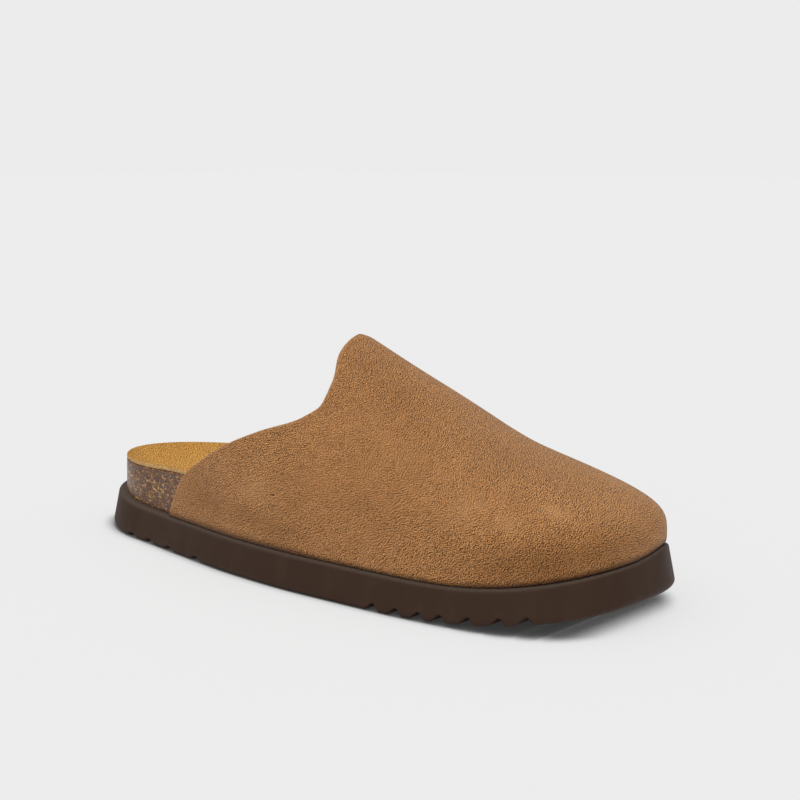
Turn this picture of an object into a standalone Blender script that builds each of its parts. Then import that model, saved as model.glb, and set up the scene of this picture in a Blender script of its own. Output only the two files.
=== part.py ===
"""A right clog: a suede upper on a cork footbed, with a suede insole and a foam-rubber outsole.

Sizes are in millimetres and become metres where a vertex is made. Stations run from the back of the heel
to the tip of the toe, heights from the floor. The outer side of the foot lies at -Y, the inner side at +Y.
A share is a part of a whole, from 0 to 1: of the length, of the breadth or of the girth.
"""

import bisect
import math
from collections import namedtuple

import bmesh
import bpy

MM = 0.001
OUTER, INNER = -1, 1
GAP = 0.3  # between pieces that touch

# Outline of the sole, at its widest
SOLE_LENGTH = 284.0
HEEL_ROUND = 0.15  # share of the length that the round heel takes
TOE_ROUND = 0.78  # share of the length where the round toe begins
TOE_FULLNESS = 2.92  # exponent of the toe's superellipse
TOE_OFFSET = 4.5  # the tip's distance from the heel's middle line, towards the big toe
SWING_START = 0.45  # share of the length where the middle line begins to swing

# Breadth from the middle line to the sole's edge, before the round ends are taken off
Breadth = namedtuple("Breadth", "share outer inner")
BREADTHS = (
    Breadth(0.00, 32.4, 34.6),
    Breadth(0.14, 35.6, 35.0),
    Breadth(0.28, 42.2, 36.5),
    Breadth(0.42, 48.1, 39.0),
    Breadth(0.56, 50.2, 46.5),
    Breadth(0.70, 50.2, 54.5),
    Breadth(0.84, 47.7, 52.0),
    Breadth(1.00, 43.9, 47.3),
)

# Outsole
SOLE_THICK = 14.3
TOE_SPRING = 9.5  # lift of the tread at the tip
TOE_SPRING_START = 0.70  # share of the length where the tread begins to rise
DECK_SPRING = 10.7  # lift of the outsole's top at the tip
DECK_SPRING_START = 0.757
TOE_TWIST = 3.0  # further lift of the outsole's top at the toe's inner corner
TWIST_BREADTH = 30.0  # distance aside over which that lift grows
HEEL_BEVEL = 2.2  # lift of the tread at the back of the heel
HEEL_BEVEL_LENGTH = 32.0
HEEL_RISE = 3.7  # extra height of the outsole's top at the back
HEEL_RISE_LENGTH = 65.0
WALL_FLARE = 2.2  # how far the wall's foot stands outside its top
TREAD_ROUND = 1.0  # radius along the tread's edge
DECK_ROUND = 1.5  # radius along the wall's top edge
GROOVE_FADE = 6.0  # height above the tread where a groove no longer shows in the wall
STATION_STEP = 11.0  # longest stretch between two cross-sections

# Cross grooves of the tread: stations, lengths of the slopes behind and ahead, depth
Grooves = namedtuple("Grooves", "stations behind ahead depth")
HEEL_GROOVES = Grooves((38.6, 53.0, 69.6, 91.2), 5.0, 4.0, 2.0)
FOREFOOT_GROOVES = Grooves((196.6, 207.5, 217.7, 227.2, 239.0, 251.2, 261.0), 4.6, 2.4, 3.1)

# Footbed and insole
BED_INSET = 5.6  # from the sole's widest outline to the foot of the cork's wall
RIM_INSET = 5.9  # and to the rim, where the wall leans in
INSOLE_THICK = 1.5
CUP_POWER = 2.3  # how late the bed turns up towards its rims
BED_STATIONS = 46
BED_SPREADS = (0.0, 0.3, 0.55, 0.76, 0.9, 1.0)  # shares of the half-breadth

# Cork above the outsole: along the middle, at the outer rim and at the inner rim
Bed = namedtuple("Bed", "share middle outer inner")
BEDS = (
    Bed(0.00, 13.5, 13.5, 13.5),
    Bed(0.03, 10.4, 14.4, 14.4),
    Bed(0.08, 8.2, 15.7, 15.8),
    Bed(0.15, 7.3, 17.4, 17.8),
    Bed(0.25, 7.5, 19.3, 20.0),
    Bed(0.40, 9.3, 17.9, 20.1),
    Bed(0.54, 9.9, 11.6, 15.6),
    Bed(0.68, 8.5, 7.9, 8.7),
    Bed(0.82, 6.5, 6.8, 6.8),
    Bed(1.00, 5.2, 5.2, 5.2),
)

# Upper
UPPER_THICK = 2.0
FEATHER_INSET = 3.0  # from the sole's widest outline to the upper's lower edge
SIDE_SWELL = 0.057  # how far the sides swell out over the sole, as a share of the half-breadth
TOE_BOX_START = 221.0  # station where the ridge begins to round down to the tip
TOE_BOX_FULLNESS = 3.0
TOE_HUB = 235.0  # station of the point on the ridge that the toe's columns fan out from
SIDE_COLUMNS = 16
TOE_COLUMNS = 22
UPPER_ROWS = 24

# Cross-sections of the last: ridge height, ridge offset to the inner side, fullness of the section.
# Behind the throat the ridge is only the line that the wings lean towards.
Section = namedtuple("Section", "station ridge offset fullness")
SECTIONS = (
    Section(60.0, 129.5, 4.5, 1.95),
    Section(100.0, 115.5, 4.3, 1.93),
    Section(140.0, 98.0, 4.3, 1.90),
    Section(180.0, 80.0, 3.3, 1.96),
    Section(220.0, 60.9, 2.5, 2.24),
    Section(284.0, 47.5, 4.5, 2.46),
)

# Cut edge of the collar: its station at each share of the girth, from the sole up to the throat's peak
Collar = namedtuple("Collar", "girth station")
COLLAR = (
    Collar(0.00, 65.5),
    Collar(0.06, 71.0),
    Collar(0.12, 77.5),
    Collar(0.20, 94.0),
    Collar(0.36, 126.5),
    Collar(0.48, 146.5),
    Collar(0.56, 152.0),
    Collar(0.66, 151.0),
    Collar(0.80, 145.5),
    Collar(1.00, 142.0),
)


def curve(rows, column):
    """A smooth curve through one column of a table, with no overshoot, as a function of the first column."""
    at = [row[0] for row in rows]
    value = [getattr(row, column) for row in rows]
    step = [b - a for a, b in zip(at, at[1:])]
    slope = [(b - a) / s for a, b, s in zip(value, value[1:], step)]
    tangent = [slope[0]]
    for i in range(1, len(slope)):
        before, after = slope[i - 1], slope[i]
        if before * after <= 0.0:
            tangent.append(0.0)
            continue
        near, far = step[i - 1] + 2.0 * step[i], 2.0 * step[i - 1] + step[i]
        tangent.append((near + far) / (near / before + far / after))
    tangent.append(slope[-1])

    def value_at(x):
        i = min(max(bisect.bisect(at, x) - 1, 0), len(step) - 1)
        t = min(max((x - at[i]) / step[i], 0.0), 1.0)
        start = value[i] * (1.0 + 2.0 * t) + step[i] * tangent[i] * t
        end = value[i + 1] * (3.0 - 2.0 * t) + step[i] * tangent[i + 1] * (t - 1.0)
        return start * (1.0 - t) ** 2 + end * t * t

    return value_at


half_breadth = {OUTER: curve(BREADTHS, "outer"), INNER: curve(BREADTHS, "inner")}
bed_middle = curve(BEDS, "middle")
bed_rim = {OUTER: curve(BEDS, "outer"), INNER: curve(BEDS, "inner")}
last_ridge = curve(SECTIONS, "ridge")
ridge_offset = curve(SECTIONS, "offset")
fullness = curve(SECTIONS, "fullness")
collar_station = curve(COLLAR, "station")


def clamp(x):
    return min(max(x, 0.0), 1.0)


def arch(t, power):
    """A quarter of a superellipse: 1 at t = 0, falling to 0 at t = 1."""
    return (1.0 - clamp(t) ** power) ** (1.0 / power)


def middle_line(share):
    t = clamp((share - SWING_START) / (1.0 - SWING_START))
    return TOE_OFFSET * t * t * (3.0 - 2.0 * t)


def station_at(share, inset):
    return inset + share * (SOLE_LENGTH - 2.0 * inset)


def edge(share, side, inset):
    """How far to the side the outline lies, when it is drawn in all round by the inset."""
    heel = arch(1.0 - share / HEEL_ROUND, 2.0)
    toe = arch((share - TOE_ROUND) / (1.0 - TOE_ROUND), TOE_FULLNESS)
    return middle_line(share) + side * (half_breadth[side](share) - inset) * heel * toe


def ramp(station, start, end):
    """0 before the start, rising as a parabola to 1 at the end."""
    return clamp((station - start) / (end - start)) ** 2


def tread(station):
    """Height of the sole's underside, between the grooves."""
    toe = ramp(station, TOE_SPRING_START * SOLE_LENGTH, SOLE_LENGTH)
    return TOE_SPRING * toe + HEEL_BEVEL * ramp(station, HEEL_BEVEL_LENGTH, 0.0)


def deck(station, aside):
    """Height of the outsole's top."""
    toe = ramp(station, DECK_SPRING_START * SOLE_LENGTH, SOLE_LENGTH)
    t = clamp(aside / TWIST_BREADTH)
    lift = DECK_SPRING + TOE_TWIST * t * t * (3.0 - 2.0 * t)
    return SOLE_THICK + lift * toe + HEEL_RISE * ramp(station, HEEL_RISE_LENGTH, 0.0)


def groove_depth(station):
    """Depth of the grooves at a station: a wave, deepest at each groove's own station."""
    total = 0.0
    for group in (HEEL_GROOVES, FOREFOOT_GROOVES):
        for centre in group.stations:
            away = station - centre
            t = clamp(abs(away) / (group.ahead if away > 0.0 else group.behind))
            total += group.depth * (0.5 + 0.5 * math.cos(math.pi * t))
    return total


def end_shares(steps):
    """Shares of the length, closer together where the heel and the toe turn round."""
    turn = [math.pi / 2 * i / steps for i in range(steps + 1)]
    heel = [HEEL_ROUND * (1.0 - math.cos(a)) for a in turn]
    toe = [TOE_ROUND + (1.0 - TOE_ROUND) * math.sin(a) for a in turn]
    return heel, toe


def outsole_shares():
    """Cross-sections of the outsole: its round ends, five for each groove, and more where a gap is long."""
    heel, toe = end_shares(steps=10)
    groups = (HEEL_GROOVES, FOREFOOT_GROOVES)
    marks = [
        (centre + m) / SOLE_LENGTH
        for group in groups
        for centre in group.stations
        for m in (-group.behind, -0.5 * group.behind, 0.0, 0.5 * group.ahead, group.ahead)
    ]
    clear = 1.0 / SOLE_LENGTH
    spans = list(zip(marks[0::5], marks[4::5]))
    ends = [s for s in heel + toe if all(s < a - clear or s > b + clear for a, b in spans)]
    shares = sorted(marks + ends)
    filled = [shares[0]]
    for share in shares[1:]:
        start = filled[-1]
        count = math.ceil((share - start) * SOLE_LENGTH / STATION_STEP)
        filled += [start + (share - start) * (i + 1) / count for i in range(count)]
    return filled


def bed_shares():
    """Cross-sections of the footbed and the insole."""
    heel, toe = end_shares(steps=9)
    count = BED_STATIONS - len(heel) - len(toe)
    long = [heel[-1] + (toe[0] - heel[-1]) * (i + 1) / (count + 1) for i in range(count)]
    return heel + long + toe


def material(name, colour, roughness):
    made = bpy.data.materials.new(name)
    made.use_nodes = True
    shader = made.node_tree.nodes["Principled BSDF"]
    shader.inputs["Base Color"].default_value = (*colour, 1.0)
    shader.inputs["Roughness"].default_value = roughness
    shader.inputs["Metallic"].default_value = 0.0
    return made


def skin(name, columns, rows, place, finish, parent):
    """An object made of one grid, with place(column, row) for its points, welded where points meet."""
    bm = bmesh.new()
    bmesh.ops.create_grid(bm, x_segments=columns, y_segments=rows, size=0.5)
    for vert in bm.verts:
        column = round((vert.co.x + 0.5) * columns)
        row = round((vert.co.y + 0.5) * rows)
        vert.co = [size * MM for size in place(column, row)]
    bmesh.ops.remove_doubles(bm, verts=bm.verts, dist=0.001 * MM)
    bmesh.ops.triangulate(bm, faces=bm.faces, quad_method="SHORT_EDGE")
    mesh = bpy.data.meshes.new(name)
    bm.to_mesh(mesh)
    bm.free()
    mesh.materials.append(finish)
    mesh.shade_smooth()
    made = bpy.data.objects.new(name, mesh)
    bpy.context.scene.collection.objects.link(made)
    made.parent = parent
    return made


def sleeve(name, shares, profile, height, finish, parent):
    """A closed skin around the length: half a cross-section up the outer side, then back down the inner side.

    The profile holds (spread, inset, level) from the middle of the underside to the middle of the top, and
    height(share, station, aside, side, spread, level) sets each point's height.
    """
    back = profile[-2::-1]
    ring = [(OUTER, *point) for point in profile] + [(INNER, *point) for point in back]

    def place(column, row):
        side, spread, inset, level = ring[row]
        share = shares[column]
        station = station_at(share, inset)
        middle = middle_line(share)
        aside = middle + spread * (edge(share, side, inset) - middle)
        return station, aside, height(share, station, aside, side, spread, level)

    return skin(name, len(shares) - 1, len(ring) - 1, place, finish, parent)


def rounding(inset, level, radius, start, end, steps):
    """Points (spread, inset, level) of an arc at the sole's edge, about a centre, between two angles in degrees."""
    angles = [math.radians(start + (end - start) * i / steps) for i in range(steps + 1)]
    return [(1.0, inset - radius * math.cos(a), level + radius * math.sin(a)) for a in angles]


def outsole(parent):
    """The sole: a flared wall, rounded along its edges, with grooves across the tread."""
    foot = rounding(TREAD_ROUND, TREAD_ROUND, TREAD_ROUND, start=-90, end=0, steps=2)
    top_inset = WALL_FLARE + DECK_ROUND
    top = rounding(top_inset, SOLE_THICK - DECK_ROUND, DECK_ROUND, start=0, end=90, steps=3)
    flare_at_fade = WALL_FLARE * GROOVE_FADE / SOLE_THICK
    profile = [
        (0.0, TREAD_ROUND, 0.0),
        *foot,
        (1.0, flare_at_fade, GROOVE_FADE),
        *top,
        (0.0, top_inset, SOLE_THICK),
    ]

    def height(share, station, aside, side, spread, level):
        groove = groove_depth(share * SOLE_LENGTH)
        cut = level + groove * (1.0 - min(level / GROOVE_FADE, 1.0))
        return tread(station) + cut * (deck(station, aside) - tread(station)) / SOLE_THICK

    finish = material("outsole", (0.045, 0.028, 0.020), 0.6)
    return sleeve("outsole", outsole_shares(), profile, height, finish, parent)


def bed_height(share, side, spread):
    """Height of the cork's top above the outsole."""
    middle = bed_middle(share)
    return middle + (bed_rim[side](share) - middle) * spread**CUP_POWER


def footbed(parent):
    """The cork block: a steep wall, and a top with heel cup, arch and rims."""
    top = [(spread, RIM_INSET, 1.0) for spread in reversed(BED_SPREADS)]
    profile = [(0.0, BED_INSET, 0.0), (1.0, BED_INSET, 0.0), *top]

    def height(share, station, aside, side, spread, level):
        return deck(station, aside) + GAP + level * bed_height(share, side, spread)

    finish = material("footbed", (0.095, 0.060, 0.035), 0.55)
    return sleeve("footbed", bed_shares(), profile, height, finish, parent)


def insole(parent):
    """The suede sheet on the cork, of one thickness."""
    under = [(spread, RIM_INSET, 0.0) for spread in BED_SPREADS]
    top = [(spread, RIM_INSET, 1.0) for spread in reversed(BED_SPREADS)]

    def height(share, station, aside, side, spread, level):
        cork = deck(station, aside) + GAP + bed_height(share, side, spread)
        return cork + GAP + level * INSOLE_THICK

    finish = material("insole", (0.36, 0.20, 0.065), 0.85)
    return sleeve("insole", bed_shares(), under + top, height, finish, parent)


def feather(station, side):
    """How far to the side the upper's lower edge lies at a station."""
    share = (station - FEATHER_INSET) / (SOLE_LENGTH - 2.0 * FEATHER_INSET)
    return edge(clamp(share), side, FEATHER_INSET)


def last_height(station, aside):
    """Height of the last's surface over a point of the floor."""
    base = deck(station, aside) + GAP
    offset = ridge_offset(station)
    side = OUTER if aside < offset else INNER
    breadth = abs(feather(station, side) - offset)
    box = (station - TOE_BOX_START) / (SOLE_LENGTH - FEATHER_INSET - TOE_BOX_START)
    ridge = (last_ridge(station) - base) * arch(box, TOE_BOX_FULLNESS)
    if breadth < MM:
        return base
    return base + ridge * arch(abs(aside - offset) / breadth, fullness(station))


def upper_point(column, row):
    """A point of the upper's outside: columns from the outer wing round the toe to the inner wing, rows up."""
    girth = row / UPPER_ROWS
    angle = girth * math.pi / 2
    spread = math.cos(angle)
    swell = 1.0 + SIDE_SWELL * math.sin(min(3.0 * angle, math.pi)) ** 2
    last_side = SIDE_COLUMNS + TOE_COLUMNS
    if SIDE_COLUMNS < column < last_side:
        turn = math.pi * (column - SIDE_COLUMNS) / TOE_COLUMNS
        side = OUTER if turn <= math.pi / 2 else INNER
        hub = TOE_HUB
        foot = hub + (SOLE_LENGTH - FEATHER_INSET - hub) * math.sin(turn)
    else:
        side = OUTER if column <= SIDE_COLUMNS else INNER
        along = min(column, last_side + SIDE_COLUMNS - column) / SIDE_COLUMNS
        cut = collar_station(girth)
        hub = foot = cut + (TOE_HUB - cut) * along
    middle = ridge_offset(hub)
    ahead = (foot - hub) * spread
    aside = (feather(foot, side) - middle) * spread
    height = last_height(hub + ahead, middle + aside)
    return hub + ahead * swell, middle + aside * swell, height


def upper(parent):
    """The suede shell, lasted over the foot: open underneath, at the heel and at the collar."""
    finish = material("upper", (0.39, 0.18, 0.062), 0.9)
    columns = 2 * SIDE_COLUMNS + TOE_COLUMNS
    made = skin("upper", columns, UPPER_ROWS, upper_point, finish, parent)
    wall = made.modifiers.new("wall", "SOLIDIFY")
    wall.thickness = UPPER_THICK * MM
    wall.offset = -1.0
    wall.use_even_offset = True
    wall.use_quality_normals = True
    return made


def main():
    for old in list(bpy.data.objects):
        bpy.data.objects.remove(old)
    clog = bpy.data.objects.new("clog", None)
    bpy.context.scene.collection.objects.link(clog)
    sides = [edge(share, side, 0.0) for share in outsole_shares() for side in (OUTER, INNER)]
    clog.location = (-0.5 * SOLE_LENGTH * MM, -0.5 * (min(sides) + max(sides)) * MM, 0.0)
    for piece in (outsole, footbed, insole, upper):
        piece(clog)


if __name__ == "__main__":
    main()
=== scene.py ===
"""Dresses the right clog: suede upper, suede insole, cork footbed and foam-rubber outsole, in a soft studio.

Sizes are in millimetres and become metres where a vertex is made. Stations run from the back of the heel to
the tip of the toe, heights from the floor. The outer side of the foot lies at -Y, the inner side at +Y. A
share is a part of a whole, from 0 to 1: of the length, of the breadth or of the girth.
"""

import bisect
import logging
import math
from collections.abc import Callable, Sequence
from dataclasses import dataclass, field
from enum import Enum
from typing import NamedTuple

import bmesh
import bpy
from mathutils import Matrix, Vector
from mathutils.kdtree import KDTree


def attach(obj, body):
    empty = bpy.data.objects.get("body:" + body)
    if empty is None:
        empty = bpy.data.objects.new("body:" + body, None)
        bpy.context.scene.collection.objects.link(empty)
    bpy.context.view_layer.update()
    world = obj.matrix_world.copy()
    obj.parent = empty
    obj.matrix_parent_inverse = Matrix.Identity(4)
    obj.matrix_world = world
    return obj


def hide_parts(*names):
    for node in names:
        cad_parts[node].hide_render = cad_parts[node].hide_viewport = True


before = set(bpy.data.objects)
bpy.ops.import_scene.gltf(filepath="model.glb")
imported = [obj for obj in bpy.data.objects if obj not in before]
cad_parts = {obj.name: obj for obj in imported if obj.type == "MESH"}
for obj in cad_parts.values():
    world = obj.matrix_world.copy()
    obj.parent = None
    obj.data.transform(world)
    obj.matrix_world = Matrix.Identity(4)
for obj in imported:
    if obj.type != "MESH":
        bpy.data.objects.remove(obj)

MM = 0.001
GAP = 0.3
WELD = 0.001
LOG = logging.getLogger("clog")

Colour = tuple[float, float, float]
Point = tuple[float, float, float]
Rows = tuple[tuple[float, ...], ...]
Span = tuple[float, float]
Inputs = dict[str | int, object]


class Side(Enum):
    """The two sides of the foot, each with the sign of its Y."""

    OUTER = -1
    INNER = 1


class Effect(Enum):
    """The node groups that several finishes share, each with its name in Blender."""

    NAP = "suede nap"
    MOTTLE = "soft mottling"


def clamp(x: float) -> float:
    """Keeps a number between 0 and 1."""
    return min(max(x, 0.0), 1.0)


def ease(t: float) -> float:
    """Rises from 0 to 1 with a level start and a level end."""
    return clamp(t) ** 2 * (3.0 - 2.0 * clamp(t))


def arch(t: float, power: float) -> float:
    """Gives a quarter of a superellipse: 1 at t = 0, falling to 0 at t = 1."""
    return (1.0 - clamp(t) ** power) ** (1.0 / power)


def ramp(station: float, start: float, end: float) -> float:
    """Gives 0 before the start, rising as a parabola to 1 at the end."""
    return clamp((station - start) / (end - start)) ** 2


def arc(radius: float, start: float, end: float, steps: int) -> list[tuple[float, float]]:
    """Works out points on an arc.

    Args:
        radius: radius in millimetres.
        start: first angle in degrees, 0 pointing outwards and 90 up.
        end: last angle in degrees.
        steps: how many stretches the arc has.

    Returns:
        Each point's distance outwards and upwards from the centre.
    """
    angles = [math.radians(start + (end - start) * i / steps) for i in range(steps + 1)]
    return [(radius * math.cos(a), radius * math.sin(a)) for a in angles]


class SmoothCurve:
    """A smooth curve through the rows of a table, which never overshoots them."""

    def __init__(self, rows: Rows, column: int) -> None:
        """Works out the slope at each row.

        Args:
            rows: the table, in order of its first column.
            column: which column the curve follows.
        """
        self.at = [row[0] for row in rows]
        self.value = [row[column] for row in rows]
        self.step = [b - a for a, b in zip(self.at, self.at[1:])]
        slope = [(b - a) / s for a, b, s in zip(self.value, self.value[1:], self.step)]
        self.tangent = [slope[0]]
        for i in range(1, len(slope)):
            before, after = slope[i - 1], slope[i]
            if before * after <= 0.0:
                self.tangent.append(0.0)
                continue
            near, far = self.step[i - 1] + 2.0 * self.step[i], 2.0 * self.step[i - 1] + self.step[i]
            self.tangent.append((near + far) / (near / before + far / after))
        self.tangent.append(slope[-1])

    def __call__(self, x: float) -> float:
        """Reads the curve.

        Args:
            x: a place in the table's first column.

        Returns:
            The curve's value there, or its end value beyond an end.
        """
        i = min(max(bisect.bisect(self.at, x) - 1, 0), len(self.step) - 1)
        t = clamp((x - self.at[i]) / self.step[i])
        start = self.value[i] * (1.0 + 2.0 * t) + self.step[i] * self.tangent[i] * t
        end = self.value[i + 1] * (3.0 - 2.0 * t) + self.step[i] * self.tangent[i + 1] * (t - 1.0)
        return start * (1.0 - t) ** 2 + end * t * t


@dataclass
class Outline:
    """The sole's plan and side view, which every piece of the clog follows."""

    length: float = 284.0
    heel_round: float = 0.15
    toe_round: float = 0.78
    toe_fullness: float = 2.92
    toe_offset: float = 4.5
    swing_start: float = 0.45
    # Share of the length, half breadth on the outer side, half breadth on the inner side.
    breadths: Rows = (
        (0.00, 32.4, 34.6),
        (0.14, 35.6, 35.0),
        (0.28, 42.2, 36.5),
        (0.42, 48.1, 39.0),
        (0.56, 50.2, 46.5),
        (0.70, 50.2, 54.5),
        (0.84, 47.7, 52.0),
        (1.00, 43.9, 47.3),
    )
    sole_thick: float = 14.3
    toe_spring: float = 9.5
    toe_spring_start: float = 0.70
    deck_spring: float = 10.7
    deck_spring_start: float = 0.757
    toe_twist: float = 3.0
    twist_breadth: float = 30.0
    heel_bevel: float = 2.2
    heel_bevel_length: float = 32.0
    heel_rise: float = 3.7
    heel_rise_length: float = 65.0
    outline_steps: int = 800
    shift: Vector = field(init=False)

    def __post_init__(self) -> None:
        """Makes the breadth curves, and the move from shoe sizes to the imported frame."""
        outer, inner = (SmoothCurve(self.breadths, column) for column in (1, 2))
        self.half_breadth = {Side.OUTER: outer, Side.INNER: inner}
        shares = [i / self.outline_steps for i in range(self.outline_steps + 1)]
        sides = [self.edge(share, side, 0.0) for share in shares for side in Side]
        self.shift = Vector((-0.5 * self.length, -0.5 * (min(sides) + max(sides)), 0.0))

    def middle_line(self, share: float) -> float:
        """Gives how far the middle line lies towards the inner side."""
        return self.toe_offset * ease((share - self.swing_start) / (1.0 - self.swing_start))

    def station_at(self, share: float, inset: float) -> float:
        """Gives the station of a share of the length, on an outline drawn in by the inset."""
        return inset + share * (self.length - 2.0 * inset)

    def edge(self, share: float, side: Side, inset: float) -> float:
        """Works out how far to the side the outline lies.

        Args:
            share: share of the length.
            side: which side of the foot.
            inset: how far the outline is drawn in all round.

        Returns:
            Distance from the heel's middle line, towards the inner side.
        """
        heel = arch(1.0 - share / self.heel_round, 2.0)
        toe = arch((share - self.toe_round) / (1.0 - self.toe_round), self.toe_fullness)
        return self.middle_line(share) + side.value * (self.half_breadth[side](share) - inset) * heel * toe

    def tread(self, station: float) -> float:
        """Gives the height of the sole's underside, between the grooves."""
        toe = ramp(station, self.toe_spring_start * self.length, self.length)
        return self.toe_spring * toe + self.heel_bevel * ramp(station, self.heel_bevel_length, 0.0)

    def deck(self, station: float, aside: float) -> float:
        """Works out the height of the outsole's top.

        Args:
            station: distance from the back of the heel.
            aside: distance from the heel's middle line, towards the inner side.

        Returns:
            Height above the floor, rising to the toe and most at its inner corner.
        """
        toe = ramp(station, self.deck_spring_start * self.length, self.length)
        lift = self.deck_spring + self.toe_twist * ease(aside / self.twist_breadth)
        return self.sole_thick + lift * toe + self.heel_rise * ramp(station, self.heel_rise_length, 0.0)

    def shares(self, end_steps: int, step: float) -> list[float]:
        """Spaces cross-sections along the length, closer where the heel and the toe turn round.

        Args:
            end_steps: how many cross-sections each round end has.
            step: longest stretch between two cross-sections in between.

        Returns:
            Shares of the length, from 0 to 1.
        """
        turn = [math.pi / 2 * i / end_steps for i in range(end_steps + 1)]
        heel = [self.heel_round * (1.0 - math.cos(a)) for a in turn]
        toe = [self.toe_round + (1.0 - self.toe_round) * math.sin(a) for a in turn]
        marks = heel + toe
        filled = [marks[0]]
        for mark in marks[1:]:
            start = filled[-1]
            count = math.ceil((mark - start) * self.length / step)
            filled += [start + (mark - start) * (i + 1) / count for i in range(count)]
        return filled


class Weaver:
    """Adds shader nodes to one tree, each with its values and links in one call."""

    def __init__(self, tree: bpy.types.NodeTree) -> None:
        """Keeps the tree that the nodes go into."""
        self.tree = tree

    def add(self, kind: str, inputs: Inputs | None = None, **settings: object) -> bpy.types.Node:
        """Adds one node.

        Args:
            kind: the node's type in Blender, without its ShaderNode prefix.
            inputs: a value, or another node's output, for each input.
            settings: the node's own properties.

        Returns:
            The new node.
        """
        node = self.tree.nodes.new("ShaderNode" + kind)
        for name, value in settings.items():
            setattr(node, name, value)
        self.feed(node, inputs or {})
        return node

    def feed(self, node: bpy.types.Node, inputs: Inputs) -> None:
        """Sets or links a node's inputs.

        Args:
            node: the node.
            inputs: a value, or another node's output, for each input.
        """
        for name, value in inputs.items():
            if isinstance(value, bpy.types.NodeSocket):
                self.tree.links.new(value, node.inputs[name])
            else:
                node.inputs[name].default_value = value

    def place(self) -> bpy.types.NodeSocket:
        """Gives the point on the piece, in metres."""
        return self.add("TexCoord").outputs["Object"]

    def stretch(self, vector: bpy.types.NodeSocket, scale: Point) -> bpy.types.NodeSocket:
        """Gives a point scaled along each axis."""
        return self.add("Mapping", {"Vector": vector, "Scale": scale}).outputs["Vector"]

    def vector(self, operation: str, a: object, b: object) -> bpy.types.NodeSocket:
        """Gives the sum, difference or other result of two vectors, or of a vector and a scale."""
        other = 3 if operation == "SCALE" else 1
        return self.add("VectorMath", {0: a, other: b}, operation=operation).outputs["Vector"]

    def noise(self, vector: object, scale: object, detail: float, distortion: float = 0.0) -> bpy.types.Node:
        """Gives a noise texture of a size and a depth of detail."""
        inputs = {"Vector": vector, "Scale": scale, "Detail": detail, "Distortion": distortion}
        return self.add("TexNoise", inputs)

    def math(self, operation: str, a: object, b: object = 0.0, limit: bool = False) -> bpy.types.NodeSocket:
        """Gives the sum, product or other result of two numbers."""
        return self.add("Math", {0: a, 1: b}, operation=operation, use_clamp=limit).outputs[0]

    def mask(self, value: object, ends: Span) -> bpy.types.NodeSocket:
        """Gives 0 where the value is at the first end, rising smoothly to 1 at the second."""
        inputs = {"Value": value, "From Min": ends[0], "From Max": ends[1]}
        return self.add("MapRange", inputs, interpolation_type="SMOOTHSTEP").outputs["Result"]

    def span(self, value: object, ends: Span) -> bpy.types.NodeSocket:
        """Gives a number that goes from the first end to the second as the value goes from 0 to 1."""
        return self.add("MapRange", {"Value": value, "To Min": ends[0], "To Max": ends[1]}).outputs["Result"]

    def blend(self, factor: object, a: object, b: object, kind: str = "MIX") -> bpy.types.NodeSocket:
        """Mixes two colours.

        Args:
            factor: how far the mix goes towards the second colour.
            a: the first colour.
            b: the second colour.
            kind: the way of mixing, as Blender names it.

        Returns:
            The mixed colour.
        """
        colours = [(*c, 1.0) if isinstance(c, tuple) else c for c in (a, b)]
        inputs = {0: factor, 6: colours[0], 7: colours[1]}
        return self.add("Mix", inputs, data_type="RGBA", blend_type=kind).outputs[2]

    def times(self, value: object, factor: float) -> bpy.types.NodeSocket:
        """Gives a number multiplied by a fixed factor."""
        return self.math("MULTIPLY", value, factor)

    def attribute(self, name: str) -> bpy.types.NodeSocket:
        """Gives a number that the mesh carries at each of its points."""
        return self.add("Attribute", attribute_name=name).outputs["Fac"]

    def group(self, effect: Effect, inputs: Inputs) -> bpy.types.Node:
        """Places one of the shared node groups.

        Args:
            effect: which group it is.
            inputs: a value, or another node's output, for each input.

        Returns:
            The group's node.
        """
        node = self.add("Group", node_tree=bpy.data.node_groups[effect.value])
        self.feed(node, inputs)
        return node


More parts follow.
